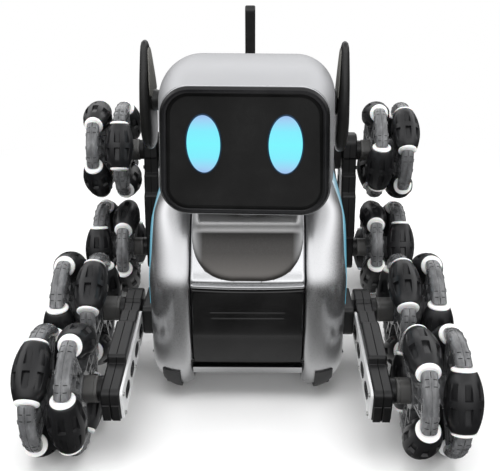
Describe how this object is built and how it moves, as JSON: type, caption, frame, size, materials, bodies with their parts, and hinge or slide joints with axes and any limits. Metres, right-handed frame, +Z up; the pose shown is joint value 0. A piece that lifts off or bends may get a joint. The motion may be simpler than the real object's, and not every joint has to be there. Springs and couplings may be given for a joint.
{
  "type": "omni wheel robot dog",
  "caption": "Toy-sized robot dog with a screen face, jointed legs that carry double-row omni wheels, swinging ears, a wagging tail and a battery door.",
  "frame": {"origin": "on the floor under the middle of the overall box", "axes": "+Z up, the face looks along -Y, +X is towards the right ear as seen from the front"},
  "size_m": [0.3424, 0.374, 0.2972],
  "materials": {
    "silver_shell": "satin metallic paint",
    "silver_bright": "polished metallic",
    "gunmetal": "satin metallic",
    "door_black": "satin",
    "black_satin": "satin",
    "black_gloss": "gloss",
    "ear_black": "satin",
    "screen_black": "gloss",
    "eye_light": "lit",
    "strip_light": "lit",
    "smoke_clear": "clear",
    "roller_rubber": "satin",
    "white_nylon": "satin",
    "plate_alloy": "brushed",
    "motor_steel": "brushed",
    "pad_rubber": "matte",
    "chassis_grey": "matte",
    "battery_wrap": "satin",
    "board_green": "satin"
  },
  "bodies": {
    "torso": {"chassis": "chassis_grey", "torso_shell_left": "silver_shell", "torso_shell_right": "silver_shell", "side_light_strips": "strip_light", "belly_pan": "silver_shell", "back_shell": "silver_shell", "chest_frame": "silver_bright", "chest_bib": "gunmetal", "foot_pads": "pad_rubber", "front_hip_drives": "black_satin", "rear_hip_drives": "black_satin", "tail_bracket": "black_satin", "battery_pack": "battery_wrap", "main_board": "board_green"},
    "front_door": {"front_door": "door_black"},
    "power_button": {"power_button": "black_gloss"},
    "neck": {"neck_yoke": "black_satin"},
    "head": {"head_shell": "silver_shell", "screen_bezel": "black_gloss", "screen_glass": "screen_black", "eye_displays": "eye_light"},
    "ear_left": {"ear_left": "ear_black"},
    "ear_right": {"ear_right": "ear_black"},
    "tail": {"tail": "ear_black"},
    "leg_front_left": {"leg_front_left_case": "black_satin", "leg_front_left_side_plate": "plate_alloy", "leg_front_left_gearmotors": "motor_steel"},
    "leg_rear_left": {"leg_rear_left_case": "black_satin", "leg_rear_left_side_plate": "plate_alloy", "leg_rear_left_gearmotors": "motor_steel"},
    "wheel_front_left": {"wheel_front_left_frame": "smoke_clear", "wheel_front_left_rollers": "roller_rubber", "wheel_front_left_end_caps": "white_nylon"},
    "wheel_middle_left": {"wheel_middle_left_frame": "smoke_clear", "wheel_middle_left_rollers": "roller_rubber", "wheel_middle_left_end_caps": "white_nylon"},
    "wheel_rear_left": {"wheel_rear_left_frame": "smoke_clear", "wheel_rear_left_rollers": "roller_rubber", "wheel_rear_left_end_caps": "white_nylon"},
    "wheel_upper_left": {"wheel_upper_left_frame": "smoke_clear", "wheel_upper_left_rollers": "roller_rubber", "wheel_upper_left_end_caps": "white_nylon"},
    "leg_front_right": {"leg_front_right_case": "black_satin", "leg_front_right_side_plate": "plate_alloy", "leg_front_right_gearmotors": "motor_steel"},
    "leg_rear_right": {"leg_rear_right_case": "black_satin", "leg_rear_right_side_plate": "plate_alloy", "leg_rear_right_gearmotors": "motor_steel"},
    "wheel_front_right": {"wheel_front_right_frame": "smoke_clear", "wheel_front_right_rollers": "roller_rubber", "wheel_front_right_end_caps": "white_nylon"},
    "wheel_middle_right": {"wheel_middle_right_frame": "smoke_clear", "wheel_middle_right_rollers": "roller_rubber", "wheel_middle_right_end_caps": "white_nylon"},
    "wheel_rear_right": {"wheel_rear_right_frame": "smoke_clear", "wheel_rear_right_rollers": "roller_rubber", "wheel_rear_right_end_caps": "white_nylon"},
    "wheel_upper_right": {"wheel_upper_right_frame": "smoke_clear", "wheel_upper_right_rollers": "roller_rubber", "wheel_upper_right_end_caps": "white_nylon"}
  },
  "joints": [
    {"name": "hip_front_left", "type": "hinge", "parent": "torso", "child": "leg_front_left", "pos_m": [0, -0.03255, 0.0607], "axis": [1, 0, 0], "range_deg": [-80, 70]},
    {"name": "hip_rear_left", "type": "hinge", "parent": "torso", "child": "leg_rear_left", "pos_m": [0, 0.137, 0.15385], "axis": [1, 0, 0], "range_deg": [-18, 85]},
    {"name": "spin_front_left", "type": "hinge", "parent": "leg_front_left", "child": "wheel_front_left", "pos_m": [0, -0.137, 0.05], "axis": [1, 0, 0], "continuous": true},
    {"name": "spin_middle_left", "type": "hinge", "parent": "leg_front_left", "child": "wheel_middle_left", "pos_m": [0, -0.03255, 0.0607], "axis": [1, 0, 0], "continuous": true},
    {"name": "spin_rear_left", "type": "hinge", "parent": "leg_rear_left", "child": "wheel_rear_left", "pos_m": [0, 0.1215, 0.05], "axis": [1, 0, 0], "continuous": true},
    {"name": "spin_upper_left", "type": "hinge", "parent": "leg_rear_left", "child": "wheel_upper_left", "pos_m": [0, 0.137, 0.15385], "axis": [1, 0, 0], "continuous": true},
    {"name": "hip_front_right", "type": "hinge", "parent": "torso", "child": "leg_front_right", "pos_m": [0, -0.03255, 0.0607], "axis": [1, 0, 0], "range_deg": [-80, 70]},
    {"name": "hip_rear_right", "type": "hinge", "parent": "torso", "child": "leg_rear_right", "pos_m": [0, 0.137, 0.15385], "axis": [1, 0, 0], "range_deg": [-18, 85]},
    {"name": "spin_front_right", "type": "hinge", "parent": "leg_front_right", "child": "wheel_front_right", "pos_m": [0, -0.137, 0.05], "axis": [1, 0, 0], "continuous": true},
    {"name": "spin_middle_right", "type": "hinge", "parent": "leg_front_right", "child": "wheel_middle_right", "pos_m": [0, -0.03255, 0.0607], "axis": [1, 0, 0], "continuous": true},
    {"name": "spin_rear_right", "type": "hinge", "parent": "leg_rear_right", "child": "wheel_rear_right", "pos_m": [0, 0.1215, 0.05], "axis": [1, 0, 0], "continuous": true},
    {"name": "spin_upper_right", "type": "hinge", "parent": "leg_rear_right", "child": "wheel_upper_right", "pos_m": [0, 0.137, 0.15385], "axis": [1, 0, 0], "continuous": true},
    {"name": "neck_pan", "type": "hinge", "parent": "torso", "child": "neck", "pos_m": [0, -0.045, 0.197], "axis": [0, 0, 1], "range_deg": [-60, 60]},
    {"name": "head_tilt", "type": "hinge", "parent": "neck", "child": "head", "pos_m": [0, -0.045, 0.197], "axis": [0.9994, -0.0349, 0], "range_deg": [-12, 5]},
    {"name": "ear_left_swing", "type": "hinge", "parent": "head", "child": "ear_left", "pos_m": [-0.06908, -0.01757, 0.243], "axis": [0.9994, -0.0349, 0], "range_deg": [-20, 35]},
    {"name": "ear_right_swing", "type": "hinge", "parent": "head", "child": "ear_right", "pos_m": [0.07083, -0.02246, 0.243], "axis": [0.9994, -0.0349, 0], "range_deg": [-20, 35]},
    {"name": "tail_wag", "type": "hinge", "parent": "torso", "child": "tail", "pos_m": [0, 0.16, 0.202], "axis": [0, 1, 0], "range_deg": [-35, 35]},
    {"name": "door_hinge", "type": "hinge", "parent": "torso", "child": "front_door", "pos_m": [0, -0.084, 0.0412], "axis": [1, 0, 0], "range_deg": [0, 80]},
    {"name": "power_press", "type": "slide", "parent": "torso", "child": "power_button", "axis": [0, 0, -1], "range_m": [0, 0.0015], "stiffness_N_per_m": 300, "springref_m": -0.001}
  ]
}
